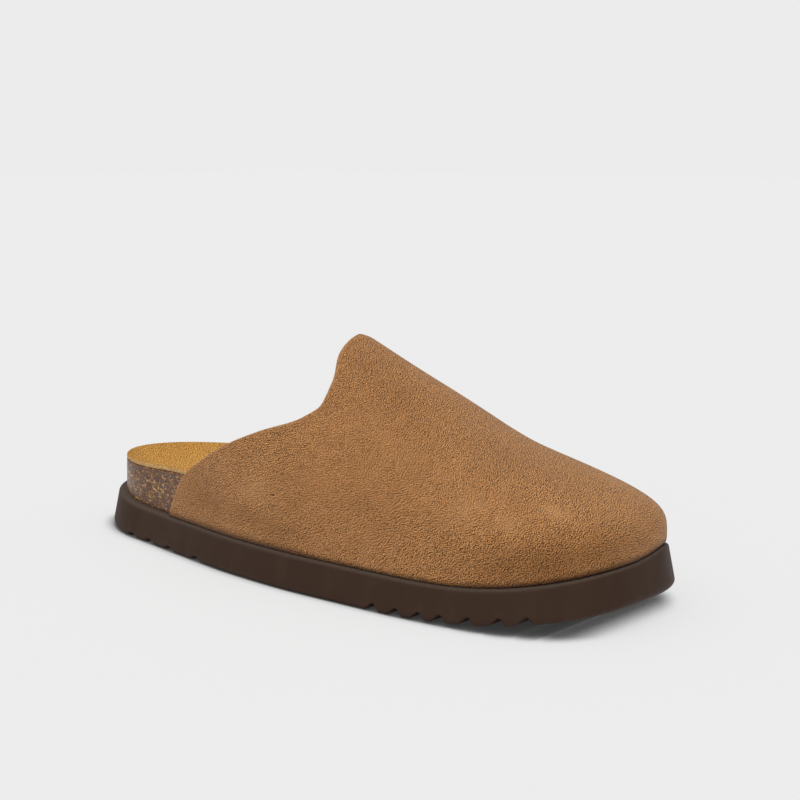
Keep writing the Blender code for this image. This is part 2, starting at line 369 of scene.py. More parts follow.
@dataclass(frozen=True)
class SharedEffects:
    """Builds the node groups that several finishes share.

    The fibres of the nap lie square to one direction of the clog's own axes, along the surface, and each
    shows its two flanks at a share of the grain to either side. Tufts make them deeper in some places than in
    others, and a finer fuzz lies over them.
    """

    across_fibres: Point = (-0.57, -0.31, 0.76)
    flank: float = 0.95
    tuft_scale: float = 0.27
    tuft_ends: Span = (0.30, 0.70)
    tuft_depths: Span = (0.3, 1.25)
    fuzz_scale: float = 1.5
    fuzz_weight: float = 3.0
    tone_ends: Span = (1.06, 1.94)
    cloud_distortion: float = 0.4
    cloud_ends: Span = (0.32, 0.68)

    def build(self) -> None:
        """Builds each group once."""
        self.nap()
        self.mottle()

    def start(self, effect: Effect, inputs: Sequence[tuple[str, str]], outputs: Sequence[str]) -> Weaver:
        """Opens a new group with its sockets.

        Args:
            effect: which group it is.
            inputs: name and socket type of each input.
            outputs: name of each output, all of them numbers.

        Returns:
            A weaver for the group's nodes.
        """
        tree = bpy.data.node_groups.new(effect.value, "ShaderNodeTree")
        for name, kind in inputs:
            tree.interface.new_socket(name, in_out="INPUT", socket_type=kind)
        for name in outputs:
            tree.interface.new_socket(name, in_out="OUTPUT", socket_type="NodeSocketFloat")
        return Weaver(tree)

    def nap(self) -> None:
        """Short fibres that lie along the surface, upwards and ahead, each darker along both its flanks."""
        vector, number = "NodeSocketVector", "NodeSocketFloat"
        inputs = (("Vector", vector), ("Normal", vector), ("Grain mm", number))
        weave = self.start(Effect.NAP, inputs, ("Tone",))
        given = weave.tree.nodes.new("NodeGroupInput").outputs
        place = given["Vector"]
        grain = weave.times(given["Grain mm"], MM)
        scale = weave.math("DIVIDE", 1.0, grain)
        outwards = weave.vector("PROJECT", self.across_fibres, given["Normal"])
        level = weave.vector("SUBTRACT", self.across_fibres, outwards)
        across = weave.vector("NORMALIZE", level, (0.0, 0.0, 0.0))
        step = weave.vector("SCALE", across, weave.times(grain, self.flank))
        fibre, above, below = (
            weave.noise(point, scale, 0.0).outputs["Fac"]
            for point in (place, weave.vector("ADD", place, step), weave.vector("SUBTRACT", place, step))
        )
        flanks = weave.math("ADD", above, below)
        ridge = weave.math("SUBTRACT", weave.times(fibre, 2.0), flanks)
        tufts = weave.noise(place, weave.times(scale, self.tuft_scale), 1.0).outputs["Fac"]
        depth = weave.span(weave.mask(tufts, self.tuft_ends), self.tuft_depths)
        uneven = weave.math("MULTIPLY", ridge, depth)
        fuzz = weave.noise(place, weave.times(scale, self.fuzz_scale), 1.0).outputs["Fac"]
        fuzzed = weave.math("ADD", uneven, weave.times(fuzz, self.fuzz_weight))
        out = weave.tree.nodes.new("NodeGroupOutput")
        weave.feed(out, {"Tone": weave.mask(fuzzed, self.tone_ends)})

    def mottle(self) -> None:
        """Cloudy patches, of a size and a softness."""
        inputs = (("Vector", "NodeSocketVector"), ("Patch mm", "NodeSocketFloat"))
        weave = self.start(Effect.MOTTLE, inputs, ("Mask",))
        given = weave.tree.nodes.new("NodeGroupInput").outputs
        scale = weave.math("DIVIDE", 1.0 / MM, given["Patch mm"])
        cloud = weave.noise(given["Vector"], scale, 3.0, self.cloud_distortion).outputs["Fac"]
        out = weave.tree.nodes.new("NodeGroupOutput")
        weave.feed(out, {"Mask": weave.mask(cloud, self.cloud_ends)})


@dataclass(frozen=True)
class Finish:
    """A finish of one of the clog's surfaces, under the name of its material."""

    name: str

    def material(self) -> bpy.types.Material:
        """Builds the material.

        Returns:
            A material whose shader is fed by the finish's own nodes.
        """
        made = bpy.data.materials.new(self.name)
        made.use_nodes = True
        weave = Weaver(made.node_tree)
        weave.feed(made.node_tree.nodes["Principled BSDF"], self.lay(weave, weave.place()))
        return made

    def lay(self, weave: Weaver, place: bpy.types.NodeSocket) -> Inputs:
        """Adds the finish's nodes, and gives the shader's inputs."""
        raise NotImplementedError


@dataclass(frozen=True)
class Suede(Finish):
    """Napped suede, brushed lighter in places and pressed darker in others, and darkened with painted shade
    on low parts and along the seam with the sole.
    """

    dark: Colour
    light: Colour
    # Multiplied in for the mottling, for pressed nap and for the painted shade under the darkening touches.
    pressed: Colour
    brushed: Colour
    grain: float
    nap_depth: float
    sheen: float
    mottling: float
    # Colour multiplied in as painted shade along the seam with the sole.
    seam_shade: Colour = (0.10, 0.065, 0.045)
    patch: float = 17.0
    pressed_calm: float = 0.25
    brushed_share: float = 0.6
    bump: float = 0.8
    rough: Span = (0.92, 0.80)
    specular: float = 0.08
    sheen_roughness: float = 0.45
    sheen_tint: Colour = (0.95, 0.80, 0.66)

    def lay(self, weave: Weaver, place: bpy.types.NodeSocket) -> Inputs:
        """Adds the finish's nodes.

        Args:
            weave: adds nodes to the material.
            place: the point on the piece.

        Returns:
            The shader's inputs, which read from the mesh, where it carries them, how brushed and how pressed
            the nap is, with painted shade under the darkening touches and along the seam.
        """
        facing = weave.add("NewGeometry").outputs["Normal"]
        fibre_inputs = {"Vector": place, "Normal": facing, "Grain mm": self.grain}
        nap = weave.group(Effect.NAP, fibre_inputs).outputs["Tone"]
        cloud = weave.group(Effect.MOTTLE, {"Vector": place, "Patch mm": self.patch}).outputs["Mask"]
        # Pressed nap, and painted shade where touches darken the lower toe, the ball's front, the waist and
        # the wing.
        pressed = weave.math("MAXIMUM", weave.attribute("pressed"), 0.0)
        quiet = weave.math("SUBTRACT", 1.0, weave.times(pressed, self.pressed_calm), limit=True)
        swing = weave.math("MULTIPLY", weave.math("SUBTRACT", nap, 0.5), quiet)
        fibres = weave.blend(weave.math("ADD", swing, 0.5), self.dark, self.light)
        cast = weave.blend(1.0, fibres, self.pressed, "MULTIPLY")
        clouded = weave.blend(weave.times(cloud, self.mottling), fibres, cast)
        lifted = weave.times(weave.attribute("brushed"), self.brushed_share)
        raised = weave.blend(lifted, clouded, self.brushed)
        pressed_and_shaded = weave.blend(pressed, raised, weave.blend(1.0, raised, self.pressed, "MULTIPLY"))
        # Painted shade along the seam with the sole, strongest at the upper's lower edge.
        seam_shaded = weave.blend(1.0, pressed_and_shaded, self.seam_shade, "MULTIPLY")
        bump = weave.add("Bump", {"Height": nap, "Strength": self.bump, "Distance": self.nap_depth * MM})
        return {
            "Base Color": weave.blend(weave.attribute("seam_shade"), pressed_and_shaded, seam_shaded),
            "Roughness": weave.span(nap, self.rough),
            "Normal": bump.outputs["Normal"],
            "Specular IOR Level": self.specular,
            "Sheen Weight": self.sheen,
            "Sheen Roughness": self.sheen_roughness,
            "Sheen Tint": (*self.sheen_tint, 1.0),
        }


@dataclass(frozen=True)
class Cork(Finish):
    """Granulated cork with a thin varnish: mauve-brown binder, golden and black flecks of mixed size."""

    name: str = "varnished cork"
    binder: Colour = (0.118, 0.058, 0.036)
    brown: Colour = (0.150, 0.062, 0.028)
    golden: Colour = (0.62, 0.33, 0.085)
    black: Colour = (0.020, 0.011, 0.008)
    grain: float = 1.9
    flattened: float = 1.8
    wobble: float = 0.6
    wobble_scale: float = 1.9
    chip_scale: float = 1.75
    patch: float = 9.0
    grain_ends: Span = (0.58, 0.36)
    chip_ends: Span = (0.58, 0.34)
    brown_ends: Span = (0.25, 0.75)
    black_ends: Span = (0.60, 0.68)
    black_share: float = 0.8
    golden_grains: Span = (0.74, 0.80)
    golden_chips: Span = (0.72, 0.78)
    golden_share: Span = (0.45, 0.95)
    grain_height: float = 0.6
    chip_height: float = 0.4
    bump: float = 0.35
    bump_depth: float = 0.25
    rough_scale: float = 260.0
    rough: Span = (0.42, 0.66)
    coat: Span = (0.25, 0.50)
    coat_roughness: float = 0.30
    specular: float = 0.12

    def lay(self, weave: Weaver, place: bpy.types.NodeSocket) -> Inputs:
        """Adds the finish's nodes.

        Args:
            weave: adds nodes to the material.
            place: the point on the piece.

        Returns:
            The shader's inputs: packed grains, each with its own tone, under a coat that varies a little.
        """
        scale = 1.0 / (self.grain * MM)
        pressed = weave.stretch(place, (1.0, 1.0, self.flattened))
        wobble = weave.noise(pressed, self.wobble_scale * scale, 1.0).outputs["Color"]
        where = weave.vector("ADD", pressed, weave.vector("SCALE", wobble, self.wobble * self.grain * MM))
        grains, chips = (
            weave.add("TexVoronoi", {"Vector": where, "Scale": size, "Randomness": 1.0}).outputs
            for size in (scale, self.chip_scale * scale)
        )
        grain_pick, chip_pick = (
            weave.add("SeparateColor", {0: cells["Color"]}).outputs for cells in (grains, chips)
        )
        cloud = weave.group(Effect.MOTTLE, {"Vector": place, "Patch mm": self.patch}).outputs["Mask"]
        core = weave.mask(grains["Distance"], self.grain_ends)
        chip = weave.mask(chips["Distance"], self.chip_ends)
        base = weave.blend(weave.mask(grain_pick[1], self.brown_ends), self.binder, self.brown)
        soot = weave.math("MULTIPLY", weave.mask(chip_pick[1], self.black_ends), chip)
        sooted = weave.blend(weave.times(soot, self.black_share), base, self.black)
        large = weave.math("MULTIPLY", weave.mask(grain_pick[0], self.golden_grains), core)
        fine = weave.math("MULTIPLY", weave.mask(chip_pick[0], self.golden_chips), chip)
        bright = weave.span(cloud, self.golden_share)
        flecks = weave.math("MULTIPLY", weave.math("MAXIMUM", large, fine), bright)
        dull = weave.noise(place, self.rough_scale, 3.0).outputs["Fac"]
        height = weave.math("ADD", weave.times(core, self.grain_height), weave.times(chip, self.chip_height))
        bump = weave.add("Bump", {"Height": height, "Strength": self.bump, "Distance": self.bump_depth * MM})
        return {
            "Base Color": weave.blend(flecks, sooted, self.golden),
            "Roughness": weave.span(dull, self.rough),
            "Normal": bump.outputs["Normal"],
            "Coat Weight": weave.span(cloud, self.coat),
            "Coat Roughness": self.coat_roughness,
            "Specular IOR Level": self.specular,
        }


@dataclass(frozen=True)
class FoamRubber(Finish):
    """Moulded foam rubber: fine pores, faint flow marks, and a paler painted highlight along the top edge."""

    name: str = "brown foam rubber"
    body: Colour = (0.044, 0.022, 0.0128)
    flow: Colour = (0.053, 0.028, 0.017)
    # Paler colour of the painted highlight along the top edge.
    highlight_colour: Colour = (0.108, 0.079, 0.060)
    streak_scale: Point = (150.0, 150.0, 32.0)
    streak_distortion: float = 0.3
    pore_scale: float = 2600.0
    patch: float = 26.0
    flow_ends: Span = (0.42, 0.72)
    flow_share: Span = (0.35, 1.0)
    highlight_ends: Span = (0.18, 0.56)
    highlight_share: float = 0.9
    pore_height: float = 0.5
    streak_height: float = 0.6
    bump: float = 0.25
    bump_depth: float = 0.2
    rough: Span = (0.52, 0.64)
    specular: float = 0.14

    def lay(self, weave: Weaver, place: bpy.types.NodeSocket) -> Inputs:
        """Adds the finish's nodes.

        Args:
            weave: adds nodes to the material.
            place: the point on the piece.

        Returns:
            The shader's inputs, which read from the mesh a number that is 1 along the top edge, where the
            painted highlight goes.
        """
        streaked = weave.stretch(place, self.streak_scale)
        streaks = weave.noise(streaked, 1.0, 3.0, self.streak_distortion).outputs["Fac"]
        cloud = weave.group(Effect.MOTTLE, {"Vector": place, "Patch mm": self.patch}).outputs["Mask"]
        pores = weave.noise(place, self.pore_scale, 2.0).outputs["Fac"]
        flow = weave.math("MULTIPLY", weave.mask(streaks, self.flow_ends), weave.span(cloud, self.flow_share))
        body = weave.blend(flow, self.body, self.flow)
        # Painted highlight along the top edge, broken up by the pores.
        highlit = weave.math("MULTIPLY", weave.attribute("edge_highlight"), weave.mask(pores, self.highlight_ends))
        pitted = weave.times(pores, self.pore_height)
        height = weave.math("ADD", pitted, weave.times(streaks, self.streak_height))
        bump = weave.add("Bump", {"Height": height, "Strength": self.bump, "Distance": self.bump_depth * MM})
        return {
            "Base Color": weave.blend(weave.times(highlit, self.highlight_share), body, self.highlight_colour),
            "Roughness": weave.span(cloud, self.rough),
            "Normal": bump.outputs["Normal"],
            "Specular IOR Level": self.specular,
        }


UPPER_NAP = Suede(
    name="tan suede nap",
    dark=(0.025, 0.007, 0.0015),
    light=(0.720, 0.346, 0.130),
    pressed=(0.52, 0.47, 0.42),
    brushed=(0.560, 0.295, 0.128),
    grain=0.44,
    nap_depth=0.05,
    sheen=0.23,
    mottling=0.16,
)
UPPER_FLESH = Suede(
    name="tan suede inside",
    dark=(0.330, 0.175, 0.082),
    light=(0.520, 0.310, 0.165),
    pressed=(0.70, 0.62, 0.55),
    brushed=(0.560, 0.350, 0.200),
    grain=1.1,
    nap_depth=0.25,
    sheen=0.12,
    mottling=0.35,
)
CUT_EDGE = Suede(
    name="raw suede edge",
    dark=(0.350, 0.185, 0.085),
    light=(0.640, 0.390, 0.210),
    pressed=(0.70, 0.62, 0.55),
    brushed=(0.660, 0.420, 0.240),
    grain=0.9,
    nap_depth=0.30,
    sheen=0.15,
    mottling=0.25,
)
INSOLE_NAP = Suede(
    name="ochre suede nap",
    dark=(0.280, 0.120, 0.022),
    light=(0.770, 0.415, 0.108),
    pressed=(0.72, 0.62, 0.50),
    brushed=(0.700, 0.420, 0.140),
    grain=0.6,
    nap_depth=0.06,
    sheen=0.04,
    mottling=0.25,
)
INSOLE_EDGE = Suede(
    name="pale insole edge",
    dark=(0.420, 0.240, 0.090),
    light=(0.740, 0.470, 0.200),
    pressed=(0.75, 0.68, 0.60),
    brushed=(0.800, 0.580, 0.330),
    grain=0.8,
    nap_depth=0.25,
    sheen=0.10,
    mottling=0.20,
)


class Spot(NamedTuple):
    """A point of a cross-section: where it stands over the floor, and its place in the profile."""

    share: float
    station: float
    aside: float
    side: Side
    spread: float
    level: float


@dataclass
class ClogPiece:
    """A piece of the clog that stands for one CAD node."""

    outline: Outline
    name: str
    node: str

    def make(self) -> bpy.types.Object:
        """Builds the piece, dresses it and hangs it on the frame.

        Returns:
            The finished object.
        """
        piece = self.build()
        self.dress(piece)
        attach(piece, "root")
        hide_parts(self.node)
        LOG.info("%s stands for %s: %d faces", piece.name, self.node, len(piece.data.polygons))
        return piece

    def build(self) -> bpy.types.Object:
        """Builds the piece's mesh."""
        raise NotImplementedError

    def dress(self, piece: bpy.types.Object) -> None:
        """Gives the piece its materials."""
        raise NotImplementedError

    def grid(self, columns: int, rows: int, place: Callable[[int, int], Point]) -> bmesh.types.BMesh:
        """Bends a grid to a shape, and welds it where its points meet.

        Args:
            columns: how many faces the grid has one way.
            rows: how many faces it has the other way.
            place: the point for each column and row, in shoe sizes.

        Returns:
            The bent grid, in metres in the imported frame.
        """
        bm = bmesh.new()
        bmesh.ops.create_grid(bm, x_segments=columns, y_segments=rows, size=0.5)
        for vert in bm.verts:
            column = round((vert.co.x + 0.5) * columns)
            row = round((vert.co.y + 0.5) * rows)
            vert.co = (Vector(place(column, row)) + self.outline.shift) * MM
        bmesh.ops.remove_doubles(bm, verts=bm.verts, dist=WELD * MM)
        return bm

    def sleeve(
        self, shares: Sequence[float], profile: Sequence[Point], height: Callable[[Spot], float]
    ) -> bmesh.types.BMesh:
        """Bends a grid to a closed skin around the length.

        Args:
            shares: shares of the length where the cross-sections stand.
            profile: spread, inset and level of each point, from the middle underneath to the middle on top.
            height: the height of a spot above the floor.

        Returns:
            The closed skin, its faces pointing outwards.
        """
        back = profile[-2::-1]
        ring = [(Side.OUTER, *point) for point in profile] + [(Side.INNER, *point) for point in back]
        outline = self.outline

        def place(column: int, row: int) -> Point:
            """Places one point of the skin.

            Args:
                column: which cross-section it is on.
                row: its place round the ring.

            Returns:
                Station, distance aside and height.
            """
            side, spread, inset, level = ring[row]
            share = shares[column]
            station = outline.station_at(share, inset)
            middle = outline.middle_line(share)
            aside = middle + spread * (outline.edge(share, side, inset) - middle)
            return station, aside, height(Spot(share, station, aside, side, spread, level))

        bm = self.grid(len(shares) - 1, len(ring) - 1, place)
        bmesh.ops.recalc_face_normals(bm, faces=bm.faces)
        return bm

    def shoe_point(self, vert: bmesh.types.BMVert) -> Vector:
        """Gives a vertex's station, distance aside and height, in shoe sizes."""
        return vert.co / MM - self.outline.shift

    def finish(self, bm: bmesh.types.BMesh, crisp: float = 50.0) -> bpy.types.Object:
        """Turns a bmesh into a smooth-shaded object.

        Args:
            bm: the shape, which is freed.
            crisp: angle in degrees past which an edge stays sharp.

        Returns:
            The new object.
        """
        mesh = bpy.data.meshes.new(self.name)
        bm.to_mesh(mesh)
        bm.free()
        mesh.shade_smooth()
        mesh.set_sharp_from_angle(angle=math.radians(crisp))
        piece = bpy.data.objects.new(self.name, mesh)
        bpy.context.scene.collection.objects.link(piece)
        return piece


@dataclass(frozen=True)
class Grooves:
    """A group of cross grooves in the tread: a wave, deepest at each station."""

    stations: tuple[float, ...]
    behind: float
    ahead: float
    depth: float

    def depth_at(self, station: float) -> float:
        """Works out the depth of the group's grooves.

        Args:
            station: distance from the back of the heel.

        Returns:
            Depth in millimetres, 0 between the grooves.
        """
        total = 0.0
        for centre in self.stations:
            away = station - centre
            t = clamp(abs(away) / (self.ahead if away > 0.0 else self.behind))
            total += self.depth * (0.5 + 0.5 * math.cos(math.pi * t))
        return total


@dataclass
class Outsole(ClogPiece):
    """The foam-rubber sole: flared walls, rounded edges and lugs between cross grooves."""

    name: str = "foam_outsole"
    node: str = "outsole"
    wall_flare: float = 2.2
    tread_round: float = 2.0
    deck_round: float = 1.5
    groove_fade: float = 6.0
    # Depth below the deck over which the painted edge highlight fades.
    highlight_depth: float = 1.6
    tread_spreads: tuple[float, ...] = (0.0, 0.4, 0.8)
    wall_stops: tuple[float, ...] = (0.12, 0.24, 0.36, 0.50, 0.65, 0.80, 0.92)
    tread_steps: int = 5
    deck_steps: int = 7
    grooves: tuple[Grooves, ...] = (
        Grooves((38.6, 53.0, 69.6, 91.2), behind=5.0, ahead=4.0, depth=2.0),
        Grooves((196.6, 207.5, 217.7, 227.2, 239.0, 251.2, 261.0), behind=4.6, ahead=2.4, depth=3.1),
    )

    def groove(self, station: float) -> float:
        """Gives the depth of the grooves at a station."""
        return sum(group.depth_at(station) for group in self.grooves)

    def profile(self) -> list[Point]:
        """Lays out half a cross-section.

        Returns:
            Spread, inset and level of each point, from the middle of the underside to that of the top.
        """
        outline = self.outline
        under = [(spread, self.tread_round, 0.0) for spread in self.tread_spreads]
        foot_arc = arc(self.tread_round, -90, 0, self.tread_steps)
        foot = [(1.0, self.tread_round - x, self.tread_round + z) for x, z in foot_arc]
        inset, level = self.wall_flare + self.deck_round, outline.sole_thick - self.deck_round
        top = [(1.0, inset - x, level + z) for x, z in arc(self.deck_round, 0, 90, self.deck_steps)]
        ends = list(zip(foot[-1], top[0]))
        wall = [tuple(low + (high - low) * t for low, high in ends) for t in self.wall_stops]
        return [*under, *foot, *wall, *top, (0.0, inset, outline.sole_thick)]

    def height(self, spot: Spot) -> float:
        """Works out a point's height.

        Args:
            spot: the point, its level being between 0 at the tread and the sole's thickness at the deck.

        Returns:
            Height above the floor, lifted where a groove cuts in.
        """
        outline = self.outline
        fade = 1.0 - min(spot.level / self.groove_fade, 1.0)
        cut = spot.level + self.groove(spot.share * outline.length) * fade
        tread = outline.tread(spot.station)
        return tread + cut * (outline.deck(spot.station, spot.aside) - tread) / outline.sole_thick

    def build(self) -> bpy.types.Object:
        """Builds the sole and marks how near each point lies to the deck, for the painted highlight along the
        top edge.

        Returns:
            The sole's object.
        """
        bm = self.sleeve(self.outline.shares(end_steps=40, step=0.75), self.profile(), self.height)
        edge_highlight = bm.verts.layers.float.new("edge_highlight")
        for vert in bm.verts:
            station, aside, height = self.shoe_point(vert)
            # 1 at the deck, fading down over the edge's rounding: where the painted highlight goes.
            below = self.outline.deck(station, aside) - height
            vert[edge_highlight] = clamp(1.0 - below / self.highlight_depth)
        return self.finish(bm)

    def dress(self, piece: bpy.types.Object) -> None:
        """Gives the sole its rubber."""
        piece.data.materials.append(FoamRubber().material())


@dataclass
class Footbed(ClogPiece):
    """The cork block, with heel cup, side rims, arch support and toe bar."""

    name: str = "cork_footbed"
    node: str = "footbed"
    foot_inset: float = 5.6
    rim_inset: float = 5.9
    rim_round: float = 0.7
    cup_power: float = 2.3
    rim_squeeze: float = 0.5
    rim_start: float = 0.95
    wall_stops: tuple[float, ...] = (0.0, 0.3, 0.6, 0.9)
    rim_steps: int = 4
    half_steps: int = 16
    # Share of the length, height of the bed's middle, of its outer rim and of its inner rim.
    rows: Rows = (
        (0.00, 13.5, 13.5, 13.5),
        (0.03, 10.4, 14.4, 14.4),
        (0.08, 8.2, 15.7, 15.8),
        (0.15, 7.3, 17.4, 17.8),
        (0.25, 7.5, 19.3, 20.0),
        (0.40, 9.3, 17.9, 20.1),
        (0.54, 9.9, 11.6, 15.6),
        (0.68, 8.5, 7.9, 8.7),
        (0.82, 6.5, 6.8, 6.8),
        (1.00, 5.2, 5.2, 5.2),
    )

    def __post_init__(self) -> None:
        """Makes the curves of the bed's middle and rims."""
        self.middle = SmoothCurve(self.rows, 1)
        self.rim = {Side.OUTER: SmoothCurve(self.rows, 2), Side.INNER: SmoothCurve(self.rows, 3)}

    def bed(self, share: float, side: Side, spread: float) -> float:
        """Gives the height of the cork's top above the outsole."""
        middle = self.middle(share)
        return middle + (self.rim[side](share) - middle) * spread**self.cup_power

    def height(self, spot: Spot) -> float:
        """Gives a point's height, its level being 0 at the foot of the wall and 1 at the top."""
        bed = self.bed(spot.share, spot.side, spot.spread)
        return self.outline.deck(spot.station, spot.aside) + GAP + spot.level * bed

    def build(self) -> bpy.types.Object:
        """Builds the cork block.

        Returns:
            The footbed's object.
        """
        lean = self.rim_inset - self.foot_inset
        wall = [(1.0, self.foot_inset + lean * t, t) for t in self.wall_stops]
        inset = self.rim_inset + self.rim_squeeze * self.rim_round
        rise = (1.0 - self.rim_start) / self.rim_round
        rim_arc = arc(self.rim_round, 0, 90, self.rim_steps)
        rim = [(1.0, inset - self.rim_squeeze * x, self.rim_start + rise * z) for x, z in rim_arc]
        top = [(1.0 - i / self.half_steps, inset, 1.0) for i in range(1, self.half_steps + 1)]
        profile = [(0.0, self.foot_inset, 0.0), *wall, *rim, *top]
        return self.finish(self.sleeve(self.outline.shares(end_steps=24, step=4.0), profile, self.height))

    def dress(self, piece: bpy.types.Object) -> None:
        """Gives the block its cork."""
        piece.data.materials.append(Cork().material())


@dataclass
class Insole(ClogPiece):
    """The suede sheet on the cork, of one thickness, its cut edge paler than its nap."""

    name: str = "suede_insole"
    node: str = "insole"
    thick: float = 1.5
    edge_round: float = 0.6
    edge_steps: int = 4
    edge_slope: float = 0.75
    half_steps: int = 20
    bed: Footbed | None = None

    def height(self, spot: Spot) -> float:
        """Gives a point's height, its level being how far it lies above the sheet's underside."""
        return self.bed.height(spot._replace(level=1.0)) + GAP + spot.level

    def build(self) -> bpy.types.Object:
        """Builds the sheet and marks its cut edge with the second material.

        Returns:
            The insole's object.
        """
        inset, radius = self.bed.rim_inset, self.edge_round
        spreads = [i / self.half_steps for i in range(self.half_steps)]
        under = [(spread, inset, 0.0) for spread in (*spreads, 1.0)]
        level = self.thick - radius
        edge = [(1.0, inset + radius - x, level + z) for x, z in arc(radius, 0, 90, self.edge_steps)]
        top = [(spread, inset + radius, self.thick) for spread in reversed(spreads)]
        bm = self.sleeve(self.outline.shares(end_steps=24, step=3.0), [*under, *edge, *top], self.height)
        for face in bm.faces:
            face.material_index = 1 if abs(face.normal.z) < self.edge_slope else 0
        return self.finish(bm)

    def dress(self, piece: bpy.types.Object) -> None:
        """Gives the sheet its nap and its pale edge."""
        piece.data.materials.append(INSOLE_NAP.material())
        piece.data.materials.append(INSOLE_EDGE.material())


@dataclass(frozen=True)
class Touch:
    """A soft trough or ridge in the suede, where the nap also lies lighter or darker; on low parts of the
    upper the darker tone is painted shade.

    The centre and the lie are in shoe sizes, the lift is outwards, and the tone goes from -1 to 1.
    """

    centre: Point
    lie: Point
    length: float
    width: float
    lift: float
    tone: float

    def share(self, point: Vector) -> float:
        """Works out how strongly the touch shows.

        Args:
            point: a point of the suede, in shoe sizes.

        Returns:
            1 at the touch's centre, fading to 0 around it.
        """
        away = point - Vector(self.centre)
        along = away.dot(Vector(self.lie).normalized())
        across = away.length_squared - along * along
        return math.exp(-((along / self.length) ** 2) - across / self.width**2)


@dataclass
class Upper(ClogPiece):
    """The suede shell, lasted over the foot: open underneath, at the heel and at the collar."""

    name: str = "suede_upper"
    node: str = "upper"
    thick: float = 2.0
    feather_inset: float = 3.0
    side_swell: float = 0.057
    swell_share: float = 2.0 / 3.0
    toe_box_start: float = 221.0
    toe_box_fullness: float = 3.0
    toe_hub: float = 235.0
    side_columns: int = 100
    toe_columns: int = 110
    girth_rows: int = 84
    cut_round: float = 0.55
    cut_segments: int = 3
    cut_angle: float = 50.0
    # Station, height of the ridge, its distance aside, fullness of the cross-section.
    sections: Rows = (
        (60.0, 129.5, 4.5, 1.95),
        (100.0, 115.5, 4.3, 1.93),
        (140.0, 98.0, 4.3, 1.90),
        (180.0, 80.0, 3.3, 1.96),
        (220.0, 60.9, 2.5, 2.24),
        (284.0, 47.5, 4.5, 2.46),
    )
    # Share of the girth up from the sole, station of the cut edge.
    collar: Rows = (
        (0.00, 65.5),
        (0.06, 71.0),
        (0.12, 77.5),
        (0.20, 94.0),
        (0.36, 126.5),
        (0.48, 146.5),
        (0.56, 152.0),
        (0.66, 151.0),
        (0.80, 145.5),
        (1.00, 142.0),
    )
    tuck: float = 0.5
    tuck_height: float = 3.0
    skive: float = 0.5
    seat: float = 0.06
    rim: float = 1.8
    rim_tone: float = 0.85
    rim_above: float = 1.5
    rim_front: float = 175.0
    # Station, height that the painted shade along the seam reaches.
    seam_shade_rows: Rows = ((60.0, 2.2), (140.0, 2.4), (185.0, 1.6), (230.0, 1.6), (284.0, 2.0))
    touches: tuple[Touch, ...] = (
        Touch((261.0, -21.0, 44.5), (11.0, 2.5, -3.4), length=7.0, width=3.0, lift=-0.35, tone=0.65),
        Touch((249.0, -33.5, 39.7), (5.0, -1.0, -3.0), length=5.5, width=3.0, lift=-0.25, tone=0.55),
        Touch((231.0, -35.5, 42.7), (5.0, 4.0, 3.0), length=8.0, width=4.5, lift=0.15, tone=0.35),
        Touch((257.0, 19.9, 48.7), (8.0, 4.0, -2.0), length=9.0, width=5.0, lift=0.10, tone=0.45),
        Touch((128.0, -45.3, 36.0), (6.0, -1.0, 2.0), length=9.0, width=6.0, lift=0.30, tone=0.40),
        # The next two darken the wing's hollow and a low band along the waist: painted shade.
        Touch((97.0, -41.8, 31.0), (6.0, -1.0, -3.0), length=13.0, width=9.0, lift=-0.30, tone=-0.24),
        Touch((136.0, -46.0, 23.5), (10.0, -0.6, -1.2), length=28.0, width=5.0, lift=-0.25, tone=-0.40),
        Touch((187.0, -12.0, 72.5), (6.0, -2.0, -3.0), length=12.0, width=9.0, lift=-0.20, tone=-0.22),
        Touch((228.0, -7.0, 58.0), (8.0, 1.0, -3.0), length=13.0, width=8.0, lift=-0.20, tone=-0.22),
        Touch((204.0, 2.0, 68.0), (1.0, 9.0, 0.0), length=24.0, width=6.0, lift=-0.30, tone=0.0),
        # The next three darken the lower toe front, the ball's front and the low wing: painted shade.
        Touch((273.0, -23.0, 29.0), (6.0, 8.0, 2.0), length=24.0, width=10.0, lift=0.0, tone=-0.50),
        Touch((252.0, -37.0, 24.0), (9.0, 3.0, 1.5), length=22.0, width=9.0, lift=0.0, tone=-0.40),
        Touch((92.0, -41.5, 25.0), (9.0, -1.5, 0.0), length=24.0, width=12.0, lift=0.0, tone=-0.22),
        Touch((163.0, -11.0, 83.5), (4.0, -5.0, -3.0), length=18.0, width=13.0, lift=0.0, tone=-0.20),
    )

    def __post_init__(self) -> None:
        """Makes the curves of the last, of the collar's cut and of the painted shade along the seam."""
        self.ridge, self.offset, self.fullness = (SmoothCurve(self.sections, i) for i in (1, 2, 3))
        self.cut_station = SmoothCurve(self.collar, 1)
        self.seam_shade_reach = SmoothCurve(self.seam_shade_rows, 1)

    def feather(self, station: float, side: Side) -> float:
        """Gives how far to the side the upper's lower edge lies at a station."""
        share = (station - self.feather_inset) / (self.outline.length - 2.0 * self.feather_inset)
        return self.outline.edge(clamp(share), side, self.feather_inset)

    def last_height(self, station: float, aside: float) -> float:
        """Works out the height of the last's surface over a point of the floor.

        Args:
            station: distance from the back of the heel.
            aside: distance from the heel's middle line, towards the inner side.

        Returns:
            Height above the floor, at the lower edge that of the sole's deck.
        """
        base = self.outline.deck(station, aside) + self.seat
        offset = self.offset(station)
        side = Side.OUTER if aside < offset else Side.INNER
        breadth = abs(self.feather(station, side) - offset)
        if breadth < MM:
            return base
        tip = self.outline.length - self.feather_inset
        box = arch((station - self.toe_box_start) / (tip - self.toe_box_start), self.toe_box_fullness)
        girth = arch(abs(aside - offset) / breadth, self.fullness(station))
        return base + (self.ridge(station) - base) * box * girth

